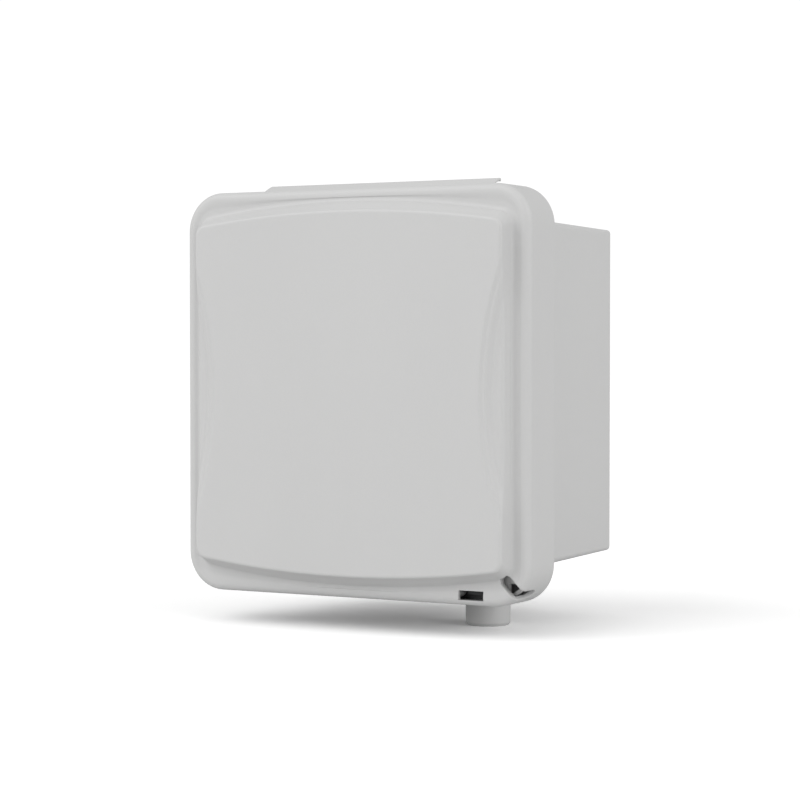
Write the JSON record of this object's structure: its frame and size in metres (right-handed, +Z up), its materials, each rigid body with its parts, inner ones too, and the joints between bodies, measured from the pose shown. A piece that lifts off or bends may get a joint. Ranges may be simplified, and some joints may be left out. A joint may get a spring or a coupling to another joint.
{
  "type": "enclosed yagi antenna",
  "caption": "Wall-mounted outdoor antenna unit: a moulded box with a top-hinged, latched cover, a short yagi inside it facing out through the cover, and cable entries underneath.",
  "frame": {"origin": "on the wall plane, at the middle of the unit's back, which is the centre of the four wall screws", "axes": "+X to the right as seen from the front, -Y out of the wall (the cover and the beam face -Y), +Z up"},
  "size_m": [0.27, 0.198, 0.3087],
  "materials": {
    "shell": "satin, fine moulded grain, light grey",
    "hub_plastic": "satin, light grey",
    "steel": "zinc plated sheet",
    "fastener": "stainless",
    "spring_wire": "drawn stainless wire",
    "element": "drawn, mill finish",
    "bracket": "die cast",
    "black_plastic": "black moulded nylon",
    "feed_plastic": "dark grey moulded",
    "seal": "black silicone foam and rubber",
    "nickel": "nickel-plated brass",
    "brass": "gold-flashed brass",
    "white_plastic": "white fluoropolymer",
    "board": "green solder mask on glass-epoxy board",
    "ferrite": "dark sintered ferrite",
    "coax_jacket": "black cable jacket",
    "earth_jacket": "green wire insulation"
  },
  "bodies": {
    "housing": {"balun_board": "board", "balun_core": "ferrite", "boom": "element", "boom_bracket": "bracket", "boom_end_cap": "black_plastic", "bracket_screws": "fastener", "breather_nut": "black_plastic", "breather_seal": "seal", "breather_vent": "black_plastic", "clamp_bolt": "fastener", "clamp_nut": "fastener", "coax_ferrule": "nickel", "coax_pigtail": "coax_jacket", "conduit_hub": "hub_plastic", "connector_bracket": "steel", "connector_bracket_screws": "fastener", "dipole_saddle": "bracket", "driven_element": "element", "earth_nuts": "fastener", "earth_screw": "fastener", "earth_stud": "fastener", "earth_washers": "fastener", "earth_wire": "earth_jacket", "element_bushes": "black_plastic", "feed_box": "feed_plastic", "feed_box_lid": "feed_plastic", "feed_box_screws": "fastener", "feed_gland": "black_plastic", "feed_lid_screws": "fastener", "feed_pins": "brass", "first_director": "element", "hinge_pin": "fastener", "hub_gasket": "seal", "hub_locknut": "hub_plastic", "jack_body": "nickel", "jack_centre_pin": "brass", "jack_insulator": "white_plastic", "jack_lock_washer": "fastener", "jack_nut": "nickel", "mounting_hole_seals": "seal", "mounting_plate": "steel", "plate_screws": "fastener", "rear_box": "shell", "reflector": "element", "saddle_screws": "fastener", "second_director": "element"},
    "door": {"door": "shell", "door_gasket": "seal", "latch_guide": "black_plastic", "latch_guide_screws": "fastener", "latch_spring": "spring_wire"},
    "latch": {"latch_bolt": "black_plastic"}
  },
  "joints": [
    {"name": "door_hinge", "type": "hinge", "parent": "housing", "child": "door", "pos_m": [0, -0.142, 0.1393], "axis": [-1, 0, 0], "range_deg": [0, 105]},
    {"name": "latch_slide", "type": "slide", "parent": "door", "child": "latch", "axis": [0, 0, 1], "range_m": [0, 0.005], "deforming": ["latch_spring"]}
  ]
}
